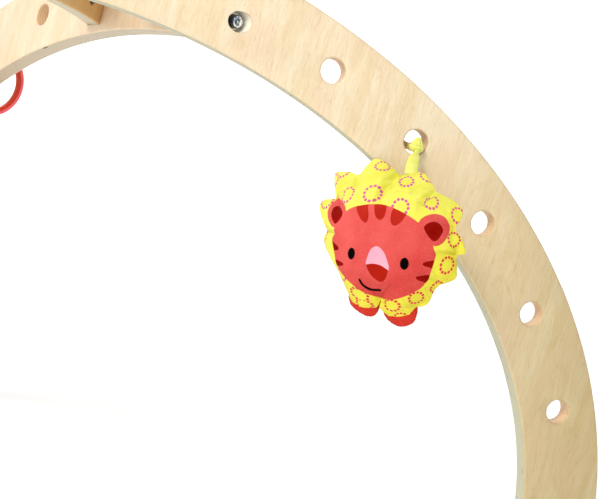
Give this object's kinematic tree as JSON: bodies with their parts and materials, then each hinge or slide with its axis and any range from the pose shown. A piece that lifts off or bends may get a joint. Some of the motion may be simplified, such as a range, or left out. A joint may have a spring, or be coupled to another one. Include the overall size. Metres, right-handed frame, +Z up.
{
  "type": "activity play gym",
  "caption": "Three curved birch plywood legs meeting in a pinwheel hub, drilled with toy holes, with a hanging stuffed lion and two linked rings.",
  "frame": {"origin": "on the floor, under the middle of the model's outline", "axes": "+Z up; +X along the right leg towards its foot; -Y faces the viewer of the right leg's outer face"},
  "size_m": [0.813, 0.8852, 0.5197],
  "materials": {
    "birch_plywood": "clear matt lacquer on rotary-cut birch plywood, edges showing the plies",
    "zinc_steel": "zinc plated steel",
    "beech": "unfinished turned beech",
    "yellow_print_fabric": "smooth printed polyester",
    "red_print_fabric": "smooth printed polyester",
    "yellow_ribbon": "satin ribbon",
    "red_plastic": "smooth moulded plastic",
    "pink_plastic": "smooth moulded plastic"
  },
  "bodies": {
    "frame": {"leg_right": "birch_plywood", "hub_bolt_right": "zinc_steel", "hub_washer_right": "zinc_steel", "barrel_nut_right": "zinc_steel", "dowel_right": "beech", "leg_rear": "birch_plywood", "hub_bolt_rear": "zinc_steel", "hub_washer_rear": "zinc_steel", "barrel_nut_rear": "zinc_steel", "dowel_rear": "beech", "leg_front": "birch_plywood", "hub_bolt_front": "zinc_steel", "hub_washer_front": "zinc_steel", "barrel_nut_front": "zinc_steel", "dowel_front": "beech"},
    "lion_hanger": {"lion_ribbon": "yellow_ribbon", "lion_knot": "yellow_ribbon", "lion_tail_cord": "yellow_ribbon", "lion_toggle": "beech"},
    "lion": {"lion_body": "yellow_print_fabric", "lion_foot_left": "red_print_fabric", "lion_foot_right": "red_print_fabric"},
    "red_link": {"red_link": "red_plastic"},
    "pink_link": {"pink_link": "pink_plastic"}
  },
  "joints": [
    {"name": "lion_swing", "type": "hinge", "parent": "frame", "child": "lion_hanger", "pos_m": [0.15875, -0.0885, 0.41517], "axis": [0, -1, 0], "range_deg": [-10, 30]},
    {"name": "lion_tilt", "type": "hinge", "parent": "lion_hanger", "child": "lion", "pos_m": [0.15258, -0.11649, 0.3998], "axis": [-0.7431, 0.6691, 0], "range_deg": [0, 60]},
    {"name": "red_link_swing", "type": "hinge", "parent": "frame", "child": "red_link", "pos_m": [-0.18359, 0.22386, 0.41417], "axis": [-0.866, -0.5, 0], "range_deg": [-10, 50]},
    {"name": "pink_link_swing", "type": "hinge", "parent": "red_link", "child": "pink_link", "pos_m": [-0.18359, 0.22386, 0.35217], "axis": [-0.866, -0.5, 0], "range_deg": [-10, 40]}
  ]
}
